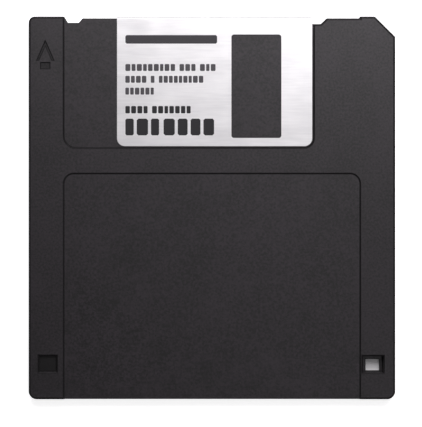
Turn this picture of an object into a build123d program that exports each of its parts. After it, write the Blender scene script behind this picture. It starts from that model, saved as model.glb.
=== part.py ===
from build123d import *
from math import atan2, cos, degrees, sin, sqrt
import os

# The cartridge lies on its back, label face up. X runs across it, +Y points to its shutter end and
# +Z to its label face. The origin is on the spindle axis, on the surface that the cartridge lies on.
# Every size is in millimetres.

# Film, with its hub and bonding ring
film_radius = 42.9
film_thickness = 0.08
film_hole_gap = 0.3               # round the hub's cup
hub_radius = 12.5
hub_flange_width = 3.075
hub_sheet = 0.3
hub_bend = 0.2                    # bevel where the sheet turns
hub_inset = 0.25                  # hub below the back face
spindle_hole = 4.0
spindle_hole_radius = 0.5
drive_slot_width = 3.9
drive_slot_length = 7.6
drive_slot_radius = 1.3
drive_slot_edge = 0.95            # from the wall of the cup to the slot
bond_thickness = 0.05
bond_inner_margin = 0.1           # from the film's hole
bond_outer_margin = 0.175         # from the flange's edge

# Case
film_clearance = 0.7              # film to the round wall of the case
side_margin = 1.4                 # round space for the film to the side faces
end_margin = 3.4                  # round space for the film to the end faces
cavity_height = 1.4
plate = 0.95                      # face of each half
wall = 0.9                        # outer walls and inner walls
edge_bevel_run = 0.4              # on the face
edge_bevel_height = 0.25          # on the side
field_wall_run = 0.2              # the walls of a sunk field lean out by this much
opening_bevel = 0.3               # round the openings in the label face
rear_corner_radius = 2.0
front_corner_radius = 1.5
corner_cut = 5.0                  # the bevelled corner beside the shutter
fit = 0.05                        # gap between sliding or nested hard pieces

# Openings for the hub and the heads
hub_opening_gap = 0.75            # round the hub
hub_rim_height = 0.35
head_window_width = 8.8
head_window_land = 5.15           # between the hub's opening and the window
head_window_edge = 1.3            # window to the film's outer edge
head_window_radius = 0.8

# Liners, the low ribs that they lie on and the leaf that lifts one of them
liner_thickness = 0.22
liner_hub_gap = 1.0               # round the hub's flange
liner_window_margin = 0.8
liner_rib_count = 6
liner_rib_height = 0.15
liner_rib_width = 0.8
liner_rib_inner_inset = 1.8       # from the liner's inner edge to the ribs
liner_rib_outer_inset = 1.1       # from the liner's outer edge to the ribs
lifter_angle = 150.0
lifter_length = 19.0
lifter_width = 8.0
lifter_sheet = 0.12
lifter_foot = 2.6
lifter_pocket_depth = 0.35
lifter_pocket_gap = 0.3
press_rib_count = 3
press_rib_spacing = 4.0
boss_radius = 6.0                 # ring on the label side, round the end of the spindle
boss_gap = 0.3                    # over the hub

# Shutter
shutter_sheet = 0.2
shutter_width = 48.0
shutter_offset = 0.65             # closed shutter right of the middle of the case
shutter_travel = 10.9
shutter_corner_radius = 2.0
shutter_bend = 0.1                # inner radius of its front folds
window_side_margin = 1.675        # the shutter's window beyond the head window, each side
window_front_margin = 0.9
window_rear_margin = 1.2
shutter_window_radius = 0.6
shutter_rear_strip = 2.1          # sheet behind the window
recess_margin = 0.3               # sunk field round the closed shutter
recess_spare = 2.05               # sunk field beyond the open shutter
recess_left_radius = 2.9

# Front edge, between the two full-length corner blocks
front_edge_recess = 0.45
right_block = 8.7                 # width of the block beside the cut corner, with the cut
left_notch_depth = 1.09
left_notch_width = 2.71           # along its floor
left_notch_slope = 0.9            # run of each sloping side
right_notch_depth = 1.4
right_notch_under = 0.65          # notch hidden under the shutter's edge
right_notch_width = 2.7
right_notch_slope = 1.45

# Lugs bent in from the rear leg of the shutter
lug_width = 3.0
lug_height = 1.2
lug_foot = 0.45
lug_inset = 1.65                  # behind the front edge of the case
left_lug_gap = 0.59               # open shutter: lug to the wall round the left notch
right_lug_gap = 0.5               # closed shutter: lug to the wall round the right notch
lug_slot_width = 0.5
lug_slot_end_gap = 0.3

# Shutter spring
spring_wire = 0.3
spring_wire_sides = 6             # flats that make up the round of the wire
spring_coil_radius = 1.6
spring_turns = 2
spring_pitch = 0.34
spring_drop = 5.3                 # coil below the line between the ends of its arms
spring_anchor_side = 2.6          # fixed end to the side face
spring_anchor_front = 4.4         # fixed end to the front face
spring_hook = 1.4
spring_bend = 0.35
anchor_post_radius = 0.7
anchor_post_gap = 1.0             # from this post to the welded post beside it

# Label recess
label_side_margin = 8.7           # recess to each side face
label_land = 6.46                 # between the fields of the shutter and the label
label_depth = 0.25
label_corner_radius = 2.4
label_wrap_depth = 0.08           # over the rear edge
label_wrap_length = 18.0          # on the back

# Write-protect opening and its tab
protect_side = 4.675              # middle of the opening to the side face
protect_rear = 8.73               # middle of the opening to the rear face
protect_width = 4.25
protect_length = 3.8
tab_travel = 4.25
tab_margin = 0.3                  # the tab is this much wider than the opening, each side
tab_boss_width = 3.4
tab_groove_width = 1.2
tab_groove_depth = 0.45
tab_recess = 0.15                 # tab below the back face
tab_gap = 0.12

# Density opening
density_side = 5.4                # middle of the opening to the side face
density_rear = 8.6                # middle of the opening to the rear face
density_width = 5.0
density_length = 3.9
density_lower_width = 3.4
density_lower_length = 2.8
density_lower_shift = 0.3         # towards the rear

# Location holes in the back, and the welded posts and webs between the halves
location_side = 5.0
location_rear = 16.0
location_radius = 1.8
location_slot_length = 4.4
location_roof = 0.35              # between a hole and the parting plane
boss_wall = 0.9
post_radius = 1.3
post_sides = 12                   # flats that make up the round of a post
web_side = 17.0                   # rear webs to the side faces
web_width = 0.8

# Plan sizes that follow
cavity_radius = film_radius + film_clearance
ring_radius = cavity_radius + wall
half_width = cavity_radius + side_margin
half_length = cavity_radius + end_margin
front_edge = half_length - front_edge_recess
channel_front = front_edge - wall
hub_flange_radius = hub_radius + hub_flange_width
hub_opening_radius = hub_radius + hub_opening_gap
film_hole_radius = hub_radius + film_hole_gap
head_window_front = film_radius - head_window_edge
head_window_rear = hub_opening_radius + head_window_land
shutter_left = shutter_offset - shutter_width / 2
shutter_right = shutter_offset + shutter_width / 2
shutter_front = front_edge + fit
shutter_rear = head_window_rear - window_rear_margin - shutter_rear_strip
left_block_x = shutter_left - shutter_travel - recess_spare
right_block_x = half_width - right_block
right_notch_x = shutter_right - right_notch_under
label_half_width = half_width - label_side_margin
label_front = shutter_rear - recess_margin - label_land
left_notch_end = left_block_x + left_notch_width + 2 * left_notch_slope
left_lug_x = left_notch_end + wall + left_lug_gap + shutter_travel + lug_width / 2
right_lug_x = right_notch_x - wall - right_lug_gap - lug_width / 2
lug_y = front_edge - lug_inset
liner_inner_radius = hub_flange_radius + liner_hub_gap
liner_rib_start = liner_inner_radius + liner_rib_inner_inset
liner_rib_end = film_radius - liner_rib_outer_inset
protect_x = -half_width + protect_side
protect_y = -half_length + protect_rear
tab_width = protect_width + 2 * tab_margin
tab_length = protect_length + 2 * tab_margin
density_x = half_width - density_side
density_y = -half_length + density_rear
location_x = half_width - location_side
location_y = -half_length + location_rear
anchor_x = -half_width + spring_anchor_side
anchor_y = half_length - spring_anchor_front
anchor_post_x = anchor_x + spring_wire / 2 + fit + anchor_post_radius

# Heights that follow
case_thickness = 2 * plate + cavity_height
parting = case_thickness / 2
cavity_floor = plate
cavity_roof = case_thickness - plate
shutter_recess = shutter_sheet + 2 * fit
lower_liner_bottom = cavity_floor + liner_rib_height
upper_liner_bottom = cavity_roof - liner_rib_height - liner_thickness
film_bottom = parting - film_thickness / 2
film_top = film_bottom + film_thickness
flange_bottom = film_top + bond_thickness


def block(x0, x1, y0, y1, z0, z1):
    """Box between two limits along each axis."""
    middle = Pos((x0 + x1) / 2, (y0 + y1) / 2, (z0 + z1) / 2)
    return middle * Box(x1 - x0, y1 - y0, z1 - z0)


def pane(x0, x1, y0, y1, radius=0.0):
    """Flat rectangle between two limits along X and Y, with rounded corners if a radius is given."""
    middle = Pos((x0 + x1) / 2, (y0 + y1) / 2)
    if radius > 0:
        return middle * RectangleRounded(x1 - x0, y1 - y0, radius)
    return middle * Rectangle(x1 - x0, y1 - y0)


def slab(plan, z0, z1):
    """Plan raised from one height to another."""
    return Pos(0, 0, z0) * extrude(plan, amount=z1 - z0, dir=(0, 0, 1))


def flare(plan, z0, z1, run):
    """Space over or under a plan at one height, whose walls lean out by a run up to another height."""
    lean = degrees(atan2(run, abs(z1 - z0)))
    return Pos(0, 0, z0) * extrude(plan, amount=z1 - z0, dir=(0, 0, 1), taper=-lean)


def ring(outer, inner, z0, z1):
    """Flat round ring about the spindle axis."""
    return slab(Circle(outer) - Circle(inner), z0, z1)


def outline():
    """Plan of the case, with its cut corner and the two notches in its front edge."""
    left_start = left_block_x + left_notch_slope
    left_end = left_notch_end - left_notch_slope
    right_end = right_notch_x + right_notch_width
    left_floor = front_edge - left_notch_depth
    right_floor = front_edge - right_notch_depth
    corners = [
        (-half_width, -half_length),
        (half_width, -half_length),
        (half_width, half_length - corner_cut),
        (half_width - corner_cut, half_length),
        (right_block_x, half_length),
        (right_block_x, front_edge),
        (right_end + right_notch_slope, front_edge),
        (right_end, right_floor),
        (right_notch_x, right_floor),
        (right_notch_x, front_edge),
        (left_notch_end, front_edge),
        (left_end, left_floor),
        (left_start, left_floor),
        (left_block_x, half_length),
        (-half_width, half_length),
    ]
    plan = make_face(Polyline(*corners, close=True))
    plan = fillet(plan.vertices().group_by(Axis.Y)[0], rear_corner_radius)
    front_left = plan.vertices().group_by(Axis.Y)[-1].sort_by(Axis.X)[0]
    room = left_block_x + half_width
    return fillet(front_left, min(front_corner_radius, room / 2))


def posts():
    """Plan of the round posts at which the two halves are welded in their corners."""
    inset = post_radius + 2 * wall
    rear_x = location_x - location_radius - 2 * post_radius
    cut_inset = corner_cut / 2 + inset
    front_left_x = anchor_post_x + anchor_post_radius + anchor_post_gap + post_radius
    spots = [
        (-rear_x, -half_length + inset),
        (rear_x, -half_length + inset),
        (half_width - cut_inset, half_length - cut_inset),
        (front_left_x, half_length - inset),
    ]
    return Sketch() + [Pos(x, y) * RegularPolygon(post_radius, post_sides) for x, y in spots]


def webs():
    """Plan of the straight webs that tie the round wall to the outer wall."""
    half = web_width / 2
    web_x = half_width - web_side
    rear = [pane(x - half, x + half, -half_length, -film_hole_radius) for x in (-web_x, web_x)]
    front_x = right_block_x - web_width
    return Sketch() + rear + [pane(front_x - half, front_x + half, film_hole_radius, half_length)]


def tab_channel():
    """Plan of the space that the write-protect tab slides in."""
    half = tab_width / 2 + tab_gap
    front = protect_y + tab_length / 2 + tab_gap
    rear = protect_y - tab_length / 2 - tab_travel - tab_gap
    return pane(protect_x - half, protect_x + half, rear, front)


def tab_frame():
    """Plan of the walls round the tab's space, joined to the outer walls."""
    half = tab_width / 2 + tab_gap + wall
    front = protect_y + tab_length / 2 + tab_gap + wall
    return pane(-half_width, protect_x + half, -half_length, front) - tab_channel()


def density_frame():
    """Plan of the collar round the density opening."""
    half_x = density_width / 2 + wall
    half_y = density_length / 2 + wall
    outer = pane(density_x - half_x, density_x + half_x, density_y - half_y, density_y + half_y)
    return outer - density_plan()


def density_plan():
    """Plan of the density opening in the label face."""
    return Pos(density_x, density_y) * Rectangle(density_width, density_length)


def location_holes(grow=0.0):
    """Plan of the round location hole and its slotted fellow, or of the bosses round them."""
    slot = location_slot_length + 2 * grow
    radius = location_radius + grow
    round_hole = Pos(-location_x, location_y) * Circle(radius)
    return round_hole + Pos(location_x, location_y) * SlotOverall(slot, 2 * radius, rotation=90)


def anchor_post():
    """Plan of the post that holds the fixed arm of the shutter spring against the side wall."""
    return Pos(anchor_post_x, anchor_y + spring_hook) * Circle(anchor_post_radius)


def corner_hollows():
    """Plan of everything that is hollow between the round wall and the outer walls."""
    inside = offset(outline(), amount=-wall, kind=Kind.INTERSECTION)
    hollow = inside - Circle(ring_radius) - posts() - webs()
    hollow -= tab_frame() + density_frame()
    return hollow - location_holes(boss_wall) - anchor_post()


def head_window():
    """Plan of the opening that the heads reach the film through."""
    half = head_window_width / 2
    return pane(-half, half, head_window_rear, head_window_front, head_window_radius)


def shutter_recess_plan():
    """Plan of the sunk field that the shutter lies and slides in."""
    right = shutter_right + recess_margin
    rear = shutter_rear - recess_margin
    field = pane(left_block_x, right, rear, half_length)
    left_corner = field.vertices().group_by(Axis.X)[0].sort_by(Axis.Y)[0]
    field = fillet(left_corner, recess_left_radius)
    right_corner = field.vertices().group_by(Axis.X)[-1].sort_by(Axis.Y)[0]
    return fillet(right_corner, shutter_corner_radius + recess_margin)


def label_plan(front):
    """Plan of a label field that runs off the rear edge."""
    field = pane(-label_half_width, label_half_width, -half_length, front)
    return fillet(field.vertices().group_by(Axis.Y)[-1], label_corner_radius)


def liner_ribs():
    """Plan of the low ribs, spread evenly round the spindle, that hold a liner off the case."""
    length = liner_rib_end - liner_rib_start
    rib = Pos((liner_rib_start + liner_rib_end) / 2, 0) * Rectangle(length, liner_rib_width)
    return Sketch() + [place * rib for place in PolarLocations(0, liner_rib_count)]


def case_half():
    """What both halves of the case share, drawn as the half with the back face."""
    half = extrude(outline(), amount=parting)
    back = half.faces().sort_by(Axis.Z)[0]
    half = chamfer(back.edges(), edge_bevel_run, edge_bevel_height, reference=back)
    half -= slab(Circle(cavity_radius) + corner_hollows(), cavity_floor, parting)
    half += slab(liner_ribs(), cavity_floor, lower_liner_bottom)
    half -= slab(head_window(), 0, lower_liner_bottom)
    half -= flare(shutter_recess_plan(), shutter_recess, 0, field_wall_run)
    wrap = block(-label_half_width, label_half_width, -half_length, -half_length + label_wrap_depth,
                 0, parting)
    return half - wrap


def lug_slots():
    """Slots in the back face that the two lugs of the shutter run in."""
    half = lug_width / 2 + lug_slot_end_gap
    side = lug_slot_width / 2
    slots = [
        pane(x - half - shutter_travel, x + half, lug_y - side, lug_y + side)
        for x in (left_lug_x, right_lug_x)
    ]
    return slab(Sketch() + slots, 0, cavity_floor)


def tab_slot():
    """Slot in the back face through which a finger moves the write-protect tab."""
    half = tab_boss_width / 2 + tab_gap
    front = protect_y + protect_length / 2 + fit
    rear = protect_y - protect_length / 2 - tab_travel - tab_gap
    plan = pane(protect_x - half, protect_x + half, rear, front)
    return slab(plan, 0, cavity_floor)


def lifter_place():
    """Frame of the liner lifter: X runs outwards from the spindle along its length."""
    return Rot(0, 0, lifter_angle) * Pos((liner_rib_start + liner_rib_end) / 2, 0, 0)


def bottom_shell():
    """Half of the case with the back face, the hub opening and the tab's finger slot."""
    shell = case_half()
    rim_top = cavity_floor + hub_rim_height
    shell += ring(hub_opening_radius + wall, hub_opening_radius, cavity_floor, rim_top)
    shell -= slab(Circle(hub_opening_radius), 0, rim_top)
    shell -= flare(label_plan(-half_length + label_wrap_length), label_depth, 0, field_wall_run)
    shell -= lug_slots() + tab_slot()
    shell -= slab(location_holes(), 0, parting - location_roof)
    pocket = Rectangle(lifter_length + 2 * lifter_pocket_gap, lifter_width + 2 * lifter_pocket_gap)
    shell -= lifter_place() * slab(pocket, cavity_floor - lifter_pocket_depth, lower_liner_bottom)
    lower = Rectangle(density_lower_width, density_lower_length)
    return shell - slab(Pos(density_x, density_y - density_lower_shift) * lower, 0, cavity_floor)


def press_ribs():
    """Short ribs over the lifter, along the radius, on the inner face of the label side."""
    first = -(press_rib_count - 1) / 2
    ribs = [
        Pos(0, (first + i) * press_rib_spacing) * Rectangle(lifter_length, liner_rib_width)
        for i in range(press_rib_count)
    ]
    return lifter_place() * slab(Sketch() + ribs, cavity_roof - liner_rib_height, cavity_roof)


def top_shell():
    """Half of the case with the label face."""
    shell = mirror(case_half(), about=Plane.XY.offset(parting))
    shell += ring(boss_radius, boss_radius - wall, hub_inset + hub_sheet + boss_gap, cavity_roof)
    shell += press_ribs()
    shell -= flare(label_plan(label_front), case_thickness - label_depth, case_thickness, field_wall_run)
    openings = Pos(protect_x, protect_y) * Rectangle(protect_width, protect_length) + density_plan()
    shell -= slab(openings, cavity_roof, case_thickness)
    return shell - flare(openings, case_thickness - opening_bevel, case_thickness, opening_bevel)


def folded_sheet():
    """The shutter before its windows: a sheet folded round the front edge, free at the rear."""
    high = case_thickness - fit
    profile = pane(shutter_rear, shutter_front + shutter_sheet, fit, high)
    profile = fillet(profile.vertices().group_by(Axis.X)[-1], shutter_bend + shutter_sheet)
    inside = pane(shutter_rear, shutter_front, fit + shutter_sheet, high - shutter_sheet)
    inside = fillet(inside.vertices().group_by(Axis.X)[-1], shutter_bend)
    return Pos(shutter_left, 0, 0) * extrude(Plane.YZ * (profile - inside), amount=shutter_width)


def lug(x):
    """Lug bent up from the rear leg, with a foot turned forwards over the case."""
    root = shutter_recess - fit
    top = root + lug_height
    left = x - lug_width / 2
    right = x + lug_width / 2
    rear = lug_y - shutter_sheet / 2
    upright = block(left, right, rear, rear + shutter_sheet, root - shutter_sheet, top)
    return upright + block(left, right, rear, rear + lug_foot, top - shutter_sheet, top)


def lug_blank(x):
    """Hole left in the rear leg where a lug was bent up."""
    front = lug_y - shutter_sheet / 2
    length = lug_height + lug_foot
    return block(x - lug_width / 2, x + lug_width / 2, front - length, front, 0, shutter_recess)


def shutter():
    """Folded steel sheet with a window in each leg and two lugs."""
    sheet = folded_sheet()
    rear_corners = sheet.edges().filter_by(Axis.Z).group_by(Axis.Y)[0]
    sheet = fillet(rear_corners, shutter_corner_radius)
    half = head_window_width / 2 + window_side_margin
    window = pane(shutter_travel - half, shutter_travel + half,
                  head_window_rear - window_rear_margin,
                  head_window_front + window_front_margin, shutter_window_radius)
    sheet -= slab(window, 0, case_thickness)
    for x in (left_lug_x, right_lug_x):
        sheet -= lug_blank(x)
        sheet += lug(x)
    return sheet


def spring_path():
    """Line of the spring wire: hooked moving arm, coil, and hooked fixed arm."""
    anchor = Vector(anchor_x, anchor_y)
    lug_edge = left_lug_x - lug_width / 2 - spring_wire / 2 - fit
    driven = Vector(lug_edge, lug_y - spring_wire)
    along = (driven - anchor).normalized()
    centre = (anchor + driven) * 0.5 + Vector(along.Y, -along.X) * spring_drop

    def touch(end, side):
        arm = end - centre
        slant = atan2(sqrt(arm.length**2 - spring_coil_radius**2), spring_coil_radius)
        return atan2(arm.Y, arm.X) + side * slant

    leaving = touch(anchor, 1)
    meeting = touch(driven, -1)
    turn = (degrees(meeting - leaving)) % 360 + 360 * spring_turns
    rise = spring_pitch * turn / 360
    bottom = parting - rise / 2
    coil = Helix(spring_pitch, rise, spring_coil_radius, lefthand=True)
    coil = Pos(centre.X, centre.Y, bottom) * Rot(0, 0, degrees(meeting)) * coil

    def arm_line(end, hook, z, angle):
        start = centre + Vector(cos(angle), sin(angle)) * spring_coil_radius
        return [(start.X, start.Y, z), (end.X, end.Y, z), (end.X, end.Y + hook, z)]

    moving = arm_line(driven, spring_wire + lug_foot, bottom, meeting)
    fixed = arm_line(anchor, spring_hook, bottom + rise, leaving)
    moving_arm = FilletPolyline(*reversed(moving), radius=spring_bend)
    fixed_arm = FilletPolyline(*fixed, radius=spring_bend)
    return Wire([*moving_arm.edges(), *coil.edges(), *fixed_arm.edges()])


def shutter_spring():
    """Torsion spring of round wire in the front-left corner."""
    path = spring_path()
    section = RegularPolygon(spring_wire / 2, spring_wire_sides)
    section = Plane(origin=path @ 0, z_dir=path % 0) * section
    return sweep(section, path=path, transition=Transition.TRANSFORMED, is_frenet=True)


def magnetic_disk():
    """Coated film with its round centre hole."""
    return ring(film_radius, film_hole_radius, film_bottom, film_top)


def hub():
    """Pressed steel cup: a flange on the film, a wall through it and a plate for the spindle."""
    flange_top = flange_bottom + hub_sheet
    plate_top = hub_inset + hub_sheet
    inner = hub_radius - hub_sheet
    points = [
        (0, hub_inset),
        (hub_radius, hub_inset),
        (hub_radius, flange_bottom),
        (hub_flange_radius, flange_bottom),
        (hub_flange_radius, flange_top),
        (inner, flange_top),
        (inner, plate_top),
        (0, plate_top),
    ]
    profile = make_face(Polyline(*points, close=True))
    lower = profile.vertices().group_by(Axis.Y)[0].sort_by(Axis.X)[-1]
    upper = profile.vertices().group_by(Axis.Y)[-1].sort_by(Axis.X)[0]
    profile = chamfer([lower, upper], hub_bend)
    cup = revolve(Plane.XZ * profile, axis=Axis.Z)
    spindle = RectangleRounded(spindle_hole, spindle_hole, spindle_hole_radius)
    slot = RectangleRounded(drive_slot_width, drive_slot_length, drive_slot_radius)
    slot = Pos(inner - drive_slot_edge - drive_slot_width / 2, 0) * slot
    return cup - slab(spindle + slot, 0, plate_top)


def hub_adhesive_ring():
    """Thin ring that bonds the film to the hub's flange."""
    outer = hub_flange_radius - bond_outer_margin
    return ring(outer, film_hole_radius + bond_inner_margin, film_top, flange_bottom)


def liner(z):
    """Non-woven ring with a notch for the heads."""
    half = head_window_width / 2 + liner_window_margin
    notch = pane(-half, half, head_window_rear - liner_window_margin, half_length)
    plan = Circle(film_radius) - Circle(liner_inner_radius) - notch
    return slab(plan, z, z + liner_thickness)


def liner_lifter():
    """Bent leaf: a foot on the floor of its pocket and a wing that rises to the lower liner."""
    floor = cavity_floor - lifter_pocket_depth
    rise = lower_liner_bottom - floor - lifter_sheet - fit
    half = lifter_width / 2
    foot_end = -half + lifter_foot
    points = [
        (-half, floor),
        (foot_end, floor),
        (half, floor + rise),
        (half, floor + rise + lifter_sheet),
        (foot_end, floor + lifter_sheet),
        (-half, floor + lifter_sheet),
    ]
    leaf = extrude(Plane.YZ * make_face(Polyline(*points, close=True)), amount=lifter_length)
    return lifter_place() * Pos(-lifter_length / 2, 0, 0) * leaf


def write_protect_slider():
    """Tab that closes the write-protect opening, with a grooved boss for a fingertip."""
    floor = cavity_floor + fit
    body = block(protect_x - tab_width / 2, protect_x + tab_width / 2,
                 protect_y - tab_length / 2, protect_y + tab_length / 2,
                 floor, cavity_roof - fit)
    half = tab_boss_width / 2
    body += block(protect_x - half, protect_x + half,
                  protect_y - protect_length / 2, protect_y + protect_length / 2,
                  tab_recess, floor)
    groove = block(protect_x - half, protect_x + half,
                   protect_y - tab_groove_width / 2, protect_y + tab_groove_width / 2,
                   tab_recess, tab_recess + tab_groove_depth)
    return body - groove


def build():
    """Every piece of the cartridge, by the name of its file."""
    return {
        "top_shell": top_shell(),
        "bottom_shell": bottom_shell(),
        "shutter": shutter(),
        "shutter_spring": shutter_spring(),
        "magnetic_disk": magnetic_disk(),
        "hub": hub(),
        "hub_adhesive_ring": hub_adhesive_ring(),
        "lower_liner": liner(lower_liner_bottom),
        "upper_liner": liner(upper_liner_bottom),
        "liner_lifter": liner_lifter(),
        "write_protect_slider": write_protect_slider(),
    }


os.makedirs("parts", exist_ok=True)
for name, piece in build().items():
    export_step(piece, f"parts/{name}.step")
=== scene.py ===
import math
import random

import bmesh
import bpy
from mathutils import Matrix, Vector


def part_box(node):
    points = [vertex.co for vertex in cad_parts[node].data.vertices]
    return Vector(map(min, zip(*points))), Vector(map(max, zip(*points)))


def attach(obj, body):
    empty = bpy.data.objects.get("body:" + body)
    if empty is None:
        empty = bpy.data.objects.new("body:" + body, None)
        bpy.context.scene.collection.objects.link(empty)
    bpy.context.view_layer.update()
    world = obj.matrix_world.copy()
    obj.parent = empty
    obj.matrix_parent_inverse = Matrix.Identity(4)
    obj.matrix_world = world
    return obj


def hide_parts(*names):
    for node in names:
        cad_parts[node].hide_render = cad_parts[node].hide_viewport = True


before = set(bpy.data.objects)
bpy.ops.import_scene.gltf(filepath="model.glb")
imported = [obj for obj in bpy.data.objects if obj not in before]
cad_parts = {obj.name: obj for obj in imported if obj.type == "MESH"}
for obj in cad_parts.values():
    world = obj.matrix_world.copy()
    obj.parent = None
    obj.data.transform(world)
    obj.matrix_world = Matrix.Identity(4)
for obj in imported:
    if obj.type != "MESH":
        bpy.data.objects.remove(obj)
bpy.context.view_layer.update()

# The cartridge lies on its back, label face up and shutter towards +Y. Lengths are in metres.
mm = 0.001

# Places read from the frame
case_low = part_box("bottom_shell")[0]
case_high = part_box("top_shell")[1]
shutter_low, shutter_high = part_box("shutter")
liner_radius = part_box("lower_liner")[1].x
label_face = case_high.z

# Framing of the photograph
photo_width = 422
photo_height = 427
pixels_per_mm = 4.076
spindle_pixel_x = 211.95
spindle_pixel_y = 207.9
camera_height = 0.42

# Light: the room is white up to one height over the horizon and grey above another, both as sines
lamp_colour = (1.0, 0.972, 1.0)
white_below = 0.08
grey_above = 0.18
overhead_grey = 0.08

# Floor: its glow grows from a near to a far radius. Under the case it is dark up to the shares of the
# half width and half length at which it starts. Along the length it starts inside the case's ends, so
# the floor seen through the rear holes gets painted light, brighter towards the rear.
floor_size = 12
floor_paint = (0.8, 0.8, 0.8)
near_radius = 0.09
far_radius = 0.25
near_glow = 0.74
far_glow = 1.0
side_start = 0.93
end_start = 0.84
end_full = 0.95

# Insertion arrow sunk in the label face, left of the shutter
arrow_x = case_low.x + 4.1 * mm
arrow_tip_y = case_high.y - 5.9 * mm
arrow_head_length = 4.9 * mm
arrow_head_width = 4.3 * mm
arrow_line = 0.52 * mm
arrow_gap = 0.5 * mm
arrow_stem_length = 1.6 * mm
arrow_stem_width = 2.3 * mm
arrow_depth = 0.3 * mm
arrow_stem_depth = 0.26 * mm

# Printing on the shutter: rows of plain blocks, with their gaps, spread and corners as shares
print_left = shutter_low.x + 2.1 * mm
print_thickness = 0.006 * mm
gap_share = 0.3
block_uneven = 0.25
block_corner = 0.15
word_gap = 1.1 * mm

# Wear: how far the patches of fine marks reach, how softly a mark ends and how much thin ink lightens
patch_size = 9 * mm
mark_fade = 0.04
thin_ink = 1.45

# Soft edges: how wide they are, and which edges are too short to stay
case_edge = 0.12 * mm
case_shortest = 0.065 * mm
metal_edge = 0.06 * mm
metal_shortest = 0.01 * mm
clean_join = 0.002 * mm
flat_angle = math.radians(0.4)
sharp_angle = math.radians(28)

# Which way a face looks, by the Z or Y of its normal
level_face = 0.97
upright_face = 0.15
front_face = 0.5

# Liners
liner_rings = 60
liner_spokes = 300
liner_notch_half = 5.2 * mm
liner_notch_rear = 17.6 * mm
liner_inner = 16.575 * mm
liner_cloth = 0.12 * mm
liner_uneven = 0.012 * mm


def mix(a, b, share):
    """Value that lies a share of the way from a to b."""
    return a + (b - a) * share


def new_material(name, colour, roughness, metallic=0.0, specular=0.5):
    """Material with one Principled shader. Returns it with its node tree and the shader.

    The plain colour, roughness and metal are also what a viewer without the node tree shows.
    """
    material = bpy.data.materials.new(name)
    material.diffuse_color = (*colour, 1)
    material.roughness = roughness
    material.metallic = metallic
    material.use_nodes = True
    tree = material.node_tree
    shader = tree.nodes["Principled BSDF"]
    shader.inputs["Base Color"].default_value = (*colour, 1)
    shader.inputs["Roughness"].default_value = roughness
    shader.inputs["Metallic"].default_value = metallic
    shader.inputs["Specular IOR Level"].default_value = specular
    return material, tree, shader


def place(tree, stretch=(1, 1, 1), turn=0.0):
    """Position on the piece, squeezed by a factor along each axis and then turned about Z."""
    coordinates = tree.nodes.new("ShaderNodeTexCoord")
    mapping = tree.nodes.new("ShaderNodeMapping")
    mapping.inputs["Scale"].default_value = stretch
    mapping.inputs["Rotation"].default_value = (0, 0, turn)
    tree.links.new(coordinates.outputs["Object"], mapping.inputs["Vector"])
    return mapping.outputs["Vector"]


def grain(tree, vector, size, detail=2.0, roughness=0.5):
    """Soft random pattern with spots of about the given size."""
    node = tree.nodes.new("ShaderNodeTexNoise")
    node.inputs["Scale"].default_value = 1 / size
    node.inputs["Detail"].default_value = detail
    node.inputs["Roughness"].default_value = roughness
    tree.links.new(vector, node.inputs["Vector"])
    return node.outputs["Fac"]


def spread(tree, value, low, high, out_low, out_high):
    """Value mapped from one range to another, held at the ends."""
    node = tree.nodes.new("ShaderNodeMapRange")
    node.inputs["From Min"].default_value = low
    node.inputs["From Max"].default_value = high
    node.inputs["To Min"].default_value = out_low
    node.inputs["To Max"].default_value = out_high
    tree.links.new(value, node.inputs["Value"])
    return node.outputs["Result"]


def combine(tree, operation, a, b):
    """Sum, product or other result of two values, of which b may be a plain number."""
    node = tree.nodes.new("ShaderNodeMath")
    node.operation = operation
    tree.links.new(a, node.inputs[0])
    if isinstance(b, (int, float)):
        node.inputs[1].default_value = b
    else:
        tree.links.new(b, node.inputs[1])
    return node.outputs[0]


def weigh(tree, share, a, b):
    """Mean of two values, of which the first has the given share."""
    first = combine(tree, "MULTIPLY", a, share)
    second = combine(tree, "MULTIPLY", b, 1 - share)
    return combine(tree, "ADD", first, second)


def from_spindle(tree):
    """Distance from the axis of the spindle."""
    radius = tree.nodes.new("ShaderNodeVectorMath")
    radius.operation = "LENGTH"
    tree.links.new(place(tree, (1, 1, 0)), radius.inputs[0])
    return radius.outputs["Value"]


def rings(tree, size, detail):
    """Soft random rings round the spindle, each about as wide as the given size."""
    node = tree.nodes.new("ShaderNodeTexNoise")
    node.noise_dimensions = "1D"
    node.inputs["Scale"].default_value = 1 / size
    node.inputs["Detail"].default_value = detail
    tree.links.new(from_spindle(tree), node.inputs["W"])
    return node.outputs["Fac"]


def tint(tree, factor, dark, light):
    """Colour between two colours."""
    node = tree.nodes.new("ShaderNodeMix")
    node.data_type = "RGBA"
    node.inputs["A"].default_value = (*dark, 1)
    node.inputs["B"].default_value = (*light, 1)
    tree.links.new(factor, node.inputs["Factor"])
    return node.outputs["Result"]


def bump(tree, height, depth, below=None):
    """Normal of a surface whose height varies by the given depth."""
    node = tree.nodes.new("ShaderNodeBump")
    node.inputs["Strength"].default_value = 1.0
    node.inputs["Distance"].default_value = depth
    tree.links.new(height, node.inputs["Height"])
    if below is not None:
        tree.links.new(below, node.inputs["Normal"])
    return node.outputs["Normal"]


def scratches(tree, turn, length, width, share):
    """Patches of thin marks along X: 1 on a mark and 0 beside it. Another turn gives other marks."""
    lines = grain(tree, place(tree, (width / length, 1, 1), turn), width, detail=0.0)
    patches = grain(tree, place(tree), patch_size, detail=1.0)
    marks = spread(tree, lines, 1 - share, 1 - share + mark_fade, 0, 1)
    return combine(tree, "MULTIPLY", marks, spread(tree, patches, 0.5, 0.62, 0, 1))


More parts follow.
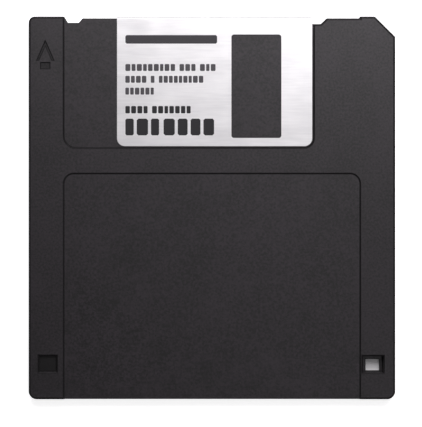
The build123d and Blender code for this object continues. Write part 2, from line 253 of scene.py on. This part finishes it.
def case_plastic():
    """Charcoal moulded plastic: matt grain, mottled flow clouds and light handling marks."""
    material, tree, shader = new_material("case_plastic", (0.0095, 0.007, 0.0095), 0.43)
    spot = place(tree)
    fine = grain(tree, spot, 0.09 * mm, detail=3.0, roughness=0.6)
    speckle = grain(tree, spot, 0.55 * mm, detail=2.0, roughness=0.6)
    clouds = grain(tree, spot, 7 * mm, detail=4.0, roughness=0.6)
    marks = scratches(tree, 0.5, 9 * mm, 0.05 * mm, 0.24)
    shade = weigh(tree, 0.3, clouds, speckle)
    cover = spread(tree, shade, 0.38, 0.62, 0, 1)
    base = tint(tree, cover, (0.001, 0.0005, 0.001), (0.018, 0.0137, 0.018))
    tree.links.new(base, shader.inputs["Base Color"])
    rough = spread(tree, shade, 0.35, 0.65, 0.45, 0.4)
    rough = combine(tree, "SUBTRACT", rough, combine(tree, "MULTIPLY", marks, 0.12))
    tree.links.new(rough, shader.inputs["Roughness"])
    normal = bump(tree, fine, 0.006 * mm)
    normal = bump(tree, speckle, 0.012 * mm, normal)
    normal = bump(tree, marks, -0.004 * mm, normal)
    tree.links.new(normal, shader.inputs["Normal"])
    return material


def painted_shade_plastic(name, lightest, roughness, specular):
    """The case's plastic on its bevels and in sunk places, made duller and darker as painted shade,
    with a fine random speckle.
    """
    material, tree, shader = new_material(name, lightest, roughness, specular=specular)
    shade_speckle = grain(tree, place(tree), 0.4 * mm, detail=3.0, roughness=0.6)
    base = tint(tree, spread(tree, shade_speckle, 0.4, 0.7, 0, 1), (0.002, 0.0015, 0.002), lightest)
    tree.links.new(base, shader.inputs["Base Color"])
    tree.links.new(bump(tree, shade_speckle, 0.01 * mm), shader.inputs["Normal"])
    return material


def tab_plastic():
    """Black moulded plastic, smoother than the case."""
    material, tree, shader = new_material("tab_plastic", (0.003, 0.0024, 0.003), 0.45, specular=0.35)
    spot = place(tree)
    fine = grain(tree, spot, 0.12 * mm, detail=3.0)
    tree.links.new(spread(tree, fine, 0.3, 0.7, 0.38, 0.5), shader.inputs["Roughness"])
    tree.links.new(bump(tree, fine, 0.004 * mm), shader.inputs["Normal"])
    return material


def shutter_steel():
    """Stainless sheet, brushed across the cartridge, with soft clouds and a few fine marks."""
    material, tree, shader = new_material("shutter_steel", (0.78, 0.777, 0.78), 0.36, metallic=1.0)
    hair = grain(tree, place(tree, (0.02, 1, 1)), 0.05 * mm, detail=3.0)
    streak = grain(tree, place(tree, (0.08, 1, 1)), 0.45 * mm, detail=3.0)
    clouds = grain(tree, place(tree, (0.6, 1, 1)), 4.5 * mm, detail=3.0)
    marks = scratches(tree, -0.35, 6 * mm, 0.04 * mm, 0.22)
    tone = weigh(tree, 0.5, streak, clouds)
    base = tint(tree, spread(tree, tone, 0.35, 0.65, 0, 1), (0.73, 0.727, 0.735), (0.82, 0.816, 0.82))
    tree.links.new(base, shader.inputs["Base Color"])
    rough = spread(tree, tone, 0.3, 0.7, 0.32, 0.39)
    rough = combine(tree, "ADD", rough, combine(tree, "MULTIPLY", marks, 0.1))
    tree.links.new(rough, shader.inputs["Roughness"])
    normal = bump(tree, hair, 0.0015 * mm)
    normal = bump(tree, marks, -0.002 * mm, normal)
    tree.links.new(normal, shader.inputs["Normal"])
    return material


def edge_shade_steel():
    """The shutter's steel at its fold and cut edges, made darker than the sheet as painted shade:
    duller, with fine streaks along the fold.
    """
    material, tree, shader = new_material("edge_shade_steel", (0.22, 0.218, 0.222), 0.42, metallic=1.0)
    rubs = grain(tree, place(tree, (0.15, 1, 1)), 0.5 * mm, detail=4.0, roughness=0.6)
    cover = spread(tree, rubs, 0.35, 0.65, 0, 1)
    base = tint(tree, cover, (0.185, 0.183, 0.188), (0.245, 0.243, 0.247))
    tree.links.new(base, shader.inputs["Base Color"])
    tree.links.new(spread(tree, rubs, 0.3, 0.7, 0.46, 0.38), shader.inputs["Roughness"])
    tree.links.new(bump(tree, rubs, 0.002 * mm), shader.inputs["Normal"])
    return material


def hub_steel():
    """Pressed stainless sheet with fine turning lines round the spindle and soft clouds."""
    material, tree, shader = new_material("hub_steel", (0.62, 0.61, 0.6), 0.34, metallic=1.0)
    turning = rings(tree, 0.07 * mm, detail=3.0)
    clouds = grain(tree, place(tree), 3 * mm, detail=3.0)
    base = tint(tree, spread(tree, clouds, 0.3, 0.7, 0, 1), (0.52, 0.51, 0.5), (0.68, 0.67, 0.66))
    tree.links.new(base, shader.inputs["Base Color"])
    tree.links.new(spread(tree, clouds, 0.3, 0.7, 0.28, 0.42), shader.inputs["Roughness"])
    tree.links.new(bump(tree, turning, 0.002 * mm), shader.inputs["Normal"])
    return material


def spring_steel():
    """Drawn steel wire with lengthwise drawing marks."""
    material, tree, shader = new_material("spring_steel", (0.5, 0.49, 0.48), 0.3, metallic=1.0)
    fine = grain(tree, place(tree, (0.2, 1, 1)), 0.06 * mm, detail=2.0)
    tree.links.new(spread(tree, fine, 0.3, 0.7, 0.22, 0.4), shader.inputs["Roughness"])
    tree.links.new(bump(tree, fine, 0.003 * mm), shader.inputs["Normal"])
    return material


def film():
    """Dark brown oxide coating, polished, with faint rings from burnishing."""
    material, tree, shader = new_material("film", (0.022, 0.014, 0.01), 0.16)
    polish = rings(tree, 0.3 * mm, detail=4.0)
    base = tint(tree, polish, (0.018, 0.0115, 0.008), (0.026, 0.0165, 0.012))
    tree.links.new(base, shader.inputs["Base Color"])
    tree.links.new(spread(tree, polish, 0.3, 0.7, 0.12, 0.22), shader.inputs["Roughness"])
    tree.links.new(bump(tree, polish, 0.0008 * mm), shader.inputs["Normal"])
    return material


def adhesive():
    """Milky double-sided film."""
    material, tree, shader = new_material("adhesive", (0.7, 0.68, 0.6), 0.5)
    cloud = grain(tree, place(tree), 1.2 * mm, detail=3.0)
    base = tint(tree, spread(tree, cloud, 0.3, 0.7, 0, 1), (0.62, 0.6, 0.52), (0.78, 0.76, 0.68))
    tree.links.new(base, shader.inputs["Base Color"])
    return material


def liner_fabric():
    """White non-woven cloth: four layers of fine fibres, with soft clouds."""
    material, tree, shader = new_material("liner_cloth", (0.78, 0.78, 0.75), 0.95, specular=0.2)
    shader.inputs["Sheen Weight"].default_value = 0.3
    fibres = scratches(tree, 0.2, 2.4 * mm, 0.05 * mm, 0.4)
    for turn in (1.1, 1.9, 2.7):
        layer = scratches(tree, turn, 2.4 * mm, 0.05 * mm, 0.4)
        fibres = combine(tree, "MAXIMUM", fibres, layer)
    cloud = grain(tree, place(tree), 0.8 * mm, detail=4.0)
    shade = weigh(tree, 0.5, fibres, cloud)
    base = tint(tree, shade, (0.6, 0.6, 0.57), (0.86, 0.86, 0.83))
    tree.links.new(base, shader.inputs["Base Color"])
    tree.links.new(bump(tree, shade, 0.03 * mm), shader.inputs["Normal"])
    return material


def lifter_plastic():
    """Smooth grey-brown leaf."""
    material, tree, shader = new_material("lifter_plastic", (0.09, 0.07, 0.05), 0.35)
    cloud = grain(tree, place(tree), 1.0 * mm, detail=3.0)
    tree.links.new(spread(tree, cloud, 0.3, 0.7, 0.28, 0.42), shader.inputs["Roughness"])
    tree.links.new(bump(tree, cloud, 0.002 * mm), shader.inputs["Normal"])
    return material


def printing_ink(name, colour):
    """Screen-printed ink, slightly uneven, with the grain of the brushed sheet showing."""
    material, tree, shader = new_material(name, colour, 0.5, specular=0.35)
    cover = grain(tree, place(tree, (0.15, 1, 1)), 0.12 * mm, detail=3.0)
    light = tuple(thin_ink * part for part in colour)
    base = tint(tree, spread(tree, cover, 0.35, 0.75, 0, 1), colour, light)
    tree.links.new(base, shader.inputs["Base Color"])
    tree.links.new(spread(tree, cover, 0.3, 0.7, 0.42, 0.6), shader.inputs["Roughness"])
    return material


def dress(name, material):
    """Gives a CAD node its material."""
    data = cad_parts[name].data
    data.materials.clear()
    data.materials.append(material)


def slopes_away(normal):
    """Whether a face slopes, and not towards the front where the main lamps stand: such faces get
    painted shade.
    """
    return upright_face < abs(normal.z) < level_face and normal.y < front_face


def leaves_level(normal):
    """Whether a face lies any way but level."""
    return abs(normal.z) < level_face


def dress_faces(name, material, picked):
    """Gives the faces of a CAD node whose normals pass a test a second material."""
    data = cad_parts[name].data
    data.materials.append(material)
    for face in data.polygons:
        if picked(face.normal):
            face.material_index = 1


def soften(name, width, shortest, edge_slot=-1, cutter=None):
    """Rounds the sharp edges of a CAD node, after an optional cut and without its shortest edges."""
    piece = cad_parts[name]
    normals = piece.data.attributes.get("custom_normal")
    if normals is not None:
        piece.data.attributes.remove(normals)
    piece.data.polygons.foreach_set("use_smooth", [True] * len(piece.data.polygons))
    weld = piece.modifiers.new("weld", "WELD")
    weld.merge_threshold = clean_join
    if cutter is not None:
        cut = piece.modifiers.new("cut", "BOOLEAN")
        cut.operation = "DIFFERENCE"
        cut.solver = "EXACT"
        cut.object = cutter
    plain = piece.modifiers.new("plain", "DECIMATE")
    plain.decimate_type = "DISSOLVE"
    plain.angle_limit = flat_angle
    join = piece.modifiers.new("join", "WELD")
    join.merge_threshold = shortest
    round_off = piece.modifiers.new("round_off", "BEVEL")
    round_off.width = width
    round_off.segments = 2
    round_off.limit_method = "ANGLE"
    round_off.angle_limit = sharp_angle
    round_off.use_clamp_overlap = False
    round_off.material = edge_slot
    shading = piece.modifiers.new("shading", "WEIGHTED_NORMAL")
    shading.mode = "FACE_AREA"
    shading.weight = 80


def add_object(name, data):
    """Object made from its data, linked to the scene."""
    made = bpy.data.objects.new(name, data)
    bpy.context.scene.collection.objects.link(made)
    return made


def mesh_from(shape, name, materials):
    """Mesh made from a shape, with its materials. The shape is freed."""
    mesh = bpy.data.meshes.new(name)
    shape.to_mesh(mesh)
    shape.free()
    for material in materials:
        mesh.materials.append(material)
    return mesh


def prism(shape, outline, bottom, top):
    """Adds a closed upright prism; the outline runs anticlockwise."""
    low = [shape.verts.new((x, y, bottom)) for x, y in outline]
    high = [shape.verts.new((x, y, top)) for x, y in outline]
    shape.faces.new(list(reversed(low)))
    shape.faces.new(high)
    for i in range(len(outline)):
        j = (i + 1) % len(outline)
        shape.faces.new((low[i], low[j], high[j], high[i]))


def arrow_head():
    """Outline of the arrow's head, an open angle of two slanting legs."""
    half = arrow_head_width / 2
    foot_y = arrow_tip_y - arrow_head_length
    slant = math.hypot(half, arrow_head_length)
    drop = arrow_line * slant / half
    inner_half = half * (arrow_head_length - drop) / arrow_head_length
    return [
        (arrow_x, arrow_tip_y),
        (arrow_x - half, foot_y),
        (arrow_x - inner_half, foot_y),
        (arrow_x, arrow_tip_y - drop),
        (arrow_x + inner_half, foot_y),
        (arrow_x + half, foot_y),
    ]


def arrow_stem():
    """Outline of the arrow's stem, a short block behind the head."""
    top = arrow_tip_y - arrow_head_length - arrow_gap
    bottom = top - arrow_stem_length
    left = arrow_x - arrow_stem_width / 2
    right = arrow_x + arrow_stem_width / 2
    return [(left, bottom), (right, bottom), (right, top), (left, top)]


def arrow_cutter(materials):
    """Two prisms that cut the arrow into the label face. What they cut gets the last material."""
    shape = bmesh.new()
    prism(shape, arrow_head(), label_face - arrow_depth, label_face + arrow_depth)
    prism(shape, arrow_stem(), label_face - arrow_stem_depth, label_face + arrow_depth)
    for face in shape.faces:
        face.material_index = len(materials) - 1
    cutter = add_object("arrow_cutter", mesh_from(shape, "arrow_cutter", materials))
    cutter.hide_render = True
    cutter.hide_viewport = True
    return cutter


def print_block(shape, left, right, bottom, top):
    """Flat printed block with cut corners, lying on the shutter."""
    corner = block_corner * min(right - left, top - bottom)
    outline = [
        (left + corner, bottom), (right - corner, bottom), (right, bottom + corner),
        (right, top - corner), (right - corner, top), (left + corner, top),
        (left, top - corner), (left, bottom + corner),
    ]
    prism(shape, outline, shutter_high.z, shutter_high.z + print_thickness)


def print_row(name, from_front, height, words, block, ink):
    """One row of printing, in millimetres: words gives how many blocks each has, block their width."""
    shape = bmesh.new()
    uneven = random.Random(name)
    top = shutter_high.y - from_front * mm
    x = print_left
    for count in words:
        for _ in range(count):
            width = uneven.uniform(1 - block_uneven, 1 + block_uneven) * block * mm
            print_block(shape, x, x + width, top - height * mm, top)
            x += width + gap_share * block * mm
        x += word_gap - gap_share * block * mm
    row = add_object(name, mesh_from(shape, name, [ink]))
    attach(row, "shutter")


def cut_notch(shape):
    """Cuts a ring along the notch's sides and end, and takes out what lies between them."""
    lines = [
        ((liner_notch_half, 0, 0), (1, 0, 0)),
        ((-liner_notch_half, 0, 0), (1, 0, 0)),
        ((0, liner_notch_rear, 0), (0, 1, 0)),
    ]
    for point, across in lines:
        front = [face for face in shape.faces if face.calc_center_median().y > 0]
        edges = dict.fromkeys(edge for face in front for edge in face.edges)
        corners = dict.fromkeys(corner for face in front for corner in face.verts)
        cut = [*front, *edges, *corners]
        bmesh.ops.bisect_plane(shape, geom=cut, plane_co=point, plane_no=across)
    notch = []
    for face in shape.faces:
        middle = face.calc_center_median()
        if abs(middle.x) < liner_notch_half and middle.y > liner_notch_rear:
            notch.append(face)
    bmesh.ops.delete(shape, geom=notch, context="FACES")


def uneven_ring(shape, z, seed):
    """Adds a flat ring of faces whose corners lie a little above or below a height."""
    uneven = random.Random(seed)
    rows = []
    for i in range(liner_rings + 1):
        radius = mix(liner_inner, liner_radius, i / liner_rings)
        row = []
        for j in range(liner_spokes):
            angle = 2 * math.pi * j / liner_spokes
            height = z + uneven.uniform(-liner_uneven, liner_uneven)
            corner = (radius * math.cos(angle), radius * math.sin(angle), height)
            row.append(shape.verts.new(corner))
        rows.append(row)
    for inner, outer in zip(rows, rows[1:]):
        for j in range(liner_spokes):
            k = (j + 1) % liner_spokes
            shape.faces.new((inner[j], outer[j], outer[k], inner[k]))


def liner_sheet(name, material, seed):
    """Ring of soft cloth with a notch for the heads, its faces gently uneven."""
    low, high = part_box(name)
    shape = bmesh.new()
    uneven_ring(shape, (low.z + high.z) / 2, seed)
    cut_notch(shape)
    mesh = mesh_from(shape, name + "_sheet", [material])
    mesh.polygons.foreach_set("use_smooth", [True] * len(mesh.polygons))
    piece = add_object(name + "_sheet", mesh)
    thick = piece.modifiers.new("thickness", "SOLIDIFY")
    thick.thickness = liner_cloth
    thick.offset = 0
    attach(piece, "case")
    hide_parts(name)


def make_camera():
    """Camera straight over the cartridge, framed as in the photograph."""
    data = bpy.data.cameras.new("camera")
    view_height = photo_height / pixels_per_mm * mm
    data.lens = data.sensor_width * camera_height / view_height
    camera = add_object("camera", data)
    x = (photo_width / 2 - spindle_pixel_x) / pixels_per_mm * mm
    y = (spindle_pixel_y - photo_height / 2) / pixels_per_mm * mm
    camera.location = (x, y, label_face + camera_height)
    bpy.context.scene.camera = camera


def softbox(name, position, width, depth, glow):
    """Studio lamp that faces the cartridge, as bright all over as glow says."""
    data = bpy.data.lights.new(name, "AREA")
    data.color = lamp_colour
    data.shape = "RECTANGLE"
    data.size = width
    data.size_y = depth
    data.energy = glow * math.pi * width * depth
    lamp = add_object(name, data)
    lamp.location = position
    lamp.rotation_euler = (-Vector(position)).to_track_quat("-Z", "Y").to_euler()


def make_surroundings():
    """Pale room: white round the horizon and grey overhead."""
    world = bpy.data.worlds.new("surroundings")
    world.use_nodes = True
    tree = world.node_tree
    coordinates = tree.nodes.new("ShaderNodeTexCoord")
    parts = tree.nodes.new("ShaderNodeSeparateXYZ")
    tree.links.new(coordinates.outputs["Generated"], parts.inputs["Vector"])
    level = spread(tree, parts.outputs["Z"], white_below, grey_above, 1.0, overhead_grey)
    background = tree.nodes["Background"]
    background.inputs["Color"].default_value = (1, 1, 1, 1)
    tree.links.new(level, background.inputs["Strength"])
    bpy.context.scene.world = world


def in_view(tree):
    """1 where a face is seen, straight, mirrored or through something, and 0 where it lights others."""
    path = tree.nodes.new("ShaderNodeLightPath")
    seen = combine(tree, "ADD", path.outputs["Is Camera Ray"], path.outputs["Is Glossy Ray"])
    return combine(tree, "ADD", seen, path.outputs["Is Transmission Ray"])


def floor_glow(tree):
    """Glow of the floor, which fades out under the case; near the case's ends it reaches inside, as
    painted light on the floor seen through the rear holes.
    """
    glow = spread(tree, from_spindle(tree), near_radius, far_radius, near_glow, far_glow)
    sides = tree.nodes.new("ShaderNodeSeparateXYZ")
    tree.links.new(place(tree), sides.inputs["Vector"])
    across = combine(tree, "ABSOLUTE", sides.outputs["X"], 0)
    along = combine(tree, "ABSOLUTE", sides.outputs["Y"], 0)
    across = spread(tree, across, side_start * case_high.x, case_high.x, 0, 1)
    along = spread(tree, along, end_start * case_high.y, end_full * case_high.y, 0, 1)
    return combine(tree, "MULTIPLY", glow, combine(tree, "MAXIMUM", across, along))


def make_floor():
    """Plain white floor that keeps the shadow."""
    bpy.ops.mesh.primitive_plane_add(size=floor_size)
    floor = bpy.context.object
    floor.name = "floor"
    material, tree, shader = new_material("floor_white", floor_paint, 0.9, specular=0.1)
    glow = combine(tree, "MULTIPLY", floor_glow(tree), in_view(tree))
    tree.links.new(glow, shader.inputs["Emission Strength"])
    shader.inputs["Emission Color"].default_value = (1, 1, 1, 1)
    floor.data.materials.append(material)


# Studio
make_camera()
make_surroundings()
make_floor()
softbox("strip_lamp", position=(0.03, 0.19, 0.23), width=0.34, depth=0.17, glow=5.05)
softbox("key_lamp", position=(0.08, 0.11, 0.3), width=0.12, depth=0.12, glow=1.2)
softbox("overhead_lamp", position=(0.0, 0.0, 0.6), width=0.25, depth=0.25, glow=0.62)
softbox("side_lamp", position=(0.2, -0.2, 0.5), width=0.25, depth=0.25, glow=0.8)
softbox("rear_lamp", position=(0.15, -0.35, 0.3), width=0.3, depth=0.3, glow=0.7)

# Materials of the CAD nodes
plastic = case_plastic()
# Darker, duller copies of the case plastic: painted shade on bevels, sloping walls and in the sunk
# arrow
edge_shade_plastic = painted_shade_plastic("edge_shade_plastic", (0.009, 0.0075, 0.009), roughness=0.7, specular=0.25)
sunk_shade_plastic = painted_shade_plastic("sunk_shade_plastic", (0.011, 0.0095, 0.011), roughness=0.55, specular=0.36)
dress("top_shell", plastic)
dress("bottom_shell", plastic)
dress("write_protect_slider", tab_plastic())
dress("shutter", shutter_steel())
dress("hub", hub_steel())
dress("magnetic_disk", film())
dress("hub_adhesive_ring", adhesive())
dress("liner_lifter", lifter_plastic())
dress("shutter_spring", spring_steel())
# Sloping faces that do not look to the front get the painted-shade plastic, and the shutter's faces
# that are not level the painted-shade steel
dress_faces("top_shell", edge_shade_plastic, slopes_away)
dress_faces("bottom_shell", edge_shade_plastic, slopes_away)
dress_faces("shutter", edge_shade_steel(), leaves_level)

# Arrow and soft edges: new faces along an edge get the second material, and the arrow the third; on the
# case and the shutter these are the painted-shade copies
arrow = arrow_cutter([plastic, edge_shade_plastic, sunk_shade_plastic])
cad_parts["top_shell"].data.materials.append(sunk_shade_plastic)
soften("top_shell", case_edge, case_shortest, edge_slot=1, cutter=arrow)
soften("bottom_shell", case_edge, case_shortest, edge_slot=1)
soften("write_protect_slider", case_edge, case_shortest)
soften("shutter", metal_edge, metal_shortest, edge_slot=1)
soften("hub", metal_edge, metal_shortest)

# Printing, from the front edge to the rear
light_ink = printing_ink("light_ink", (0.055, 0.051, 0.057))
heading_ink = printing_ink("heading_ink", (0.03, 0.028, 0.032))
dark_ink = printing_ink("dark_ink", (0.01, 0.0095, 0.011))
print_row("heading", from_front=4.4, height=2.1, words=(1,), block=25, ink=heading_ink)
print_row("text_row_1", from_front=11.5, height=1.7, words=(9, 3, 3), block=1.05, ink=light_ink)
print_row("text_row_2", from_front=14.4, height=1.7, words=(4, 1, 9), block=0.95, ink=light_ink)
print_row("text_row_3", from_front=17.3, height=1.7, words=(6,), block=0.95, ink=light_ink)
print_row("text_row_4", from_front=21.8, height=1.8, words=(4, 7), block=1.05, ink=dark_ink)
print_row("bold_row", from_front=24.9, height=4.1, words=(3, 4), block=2.45, ink=dark_ink)

# Cloth
cloth = liner_fabric()
liner_sheet("lower_liner", cloth, seed=3)
liner_sheet("upper_liner", cloth, seed=4)

bpy.context.scene.view_settings.view_transform = "Standard"
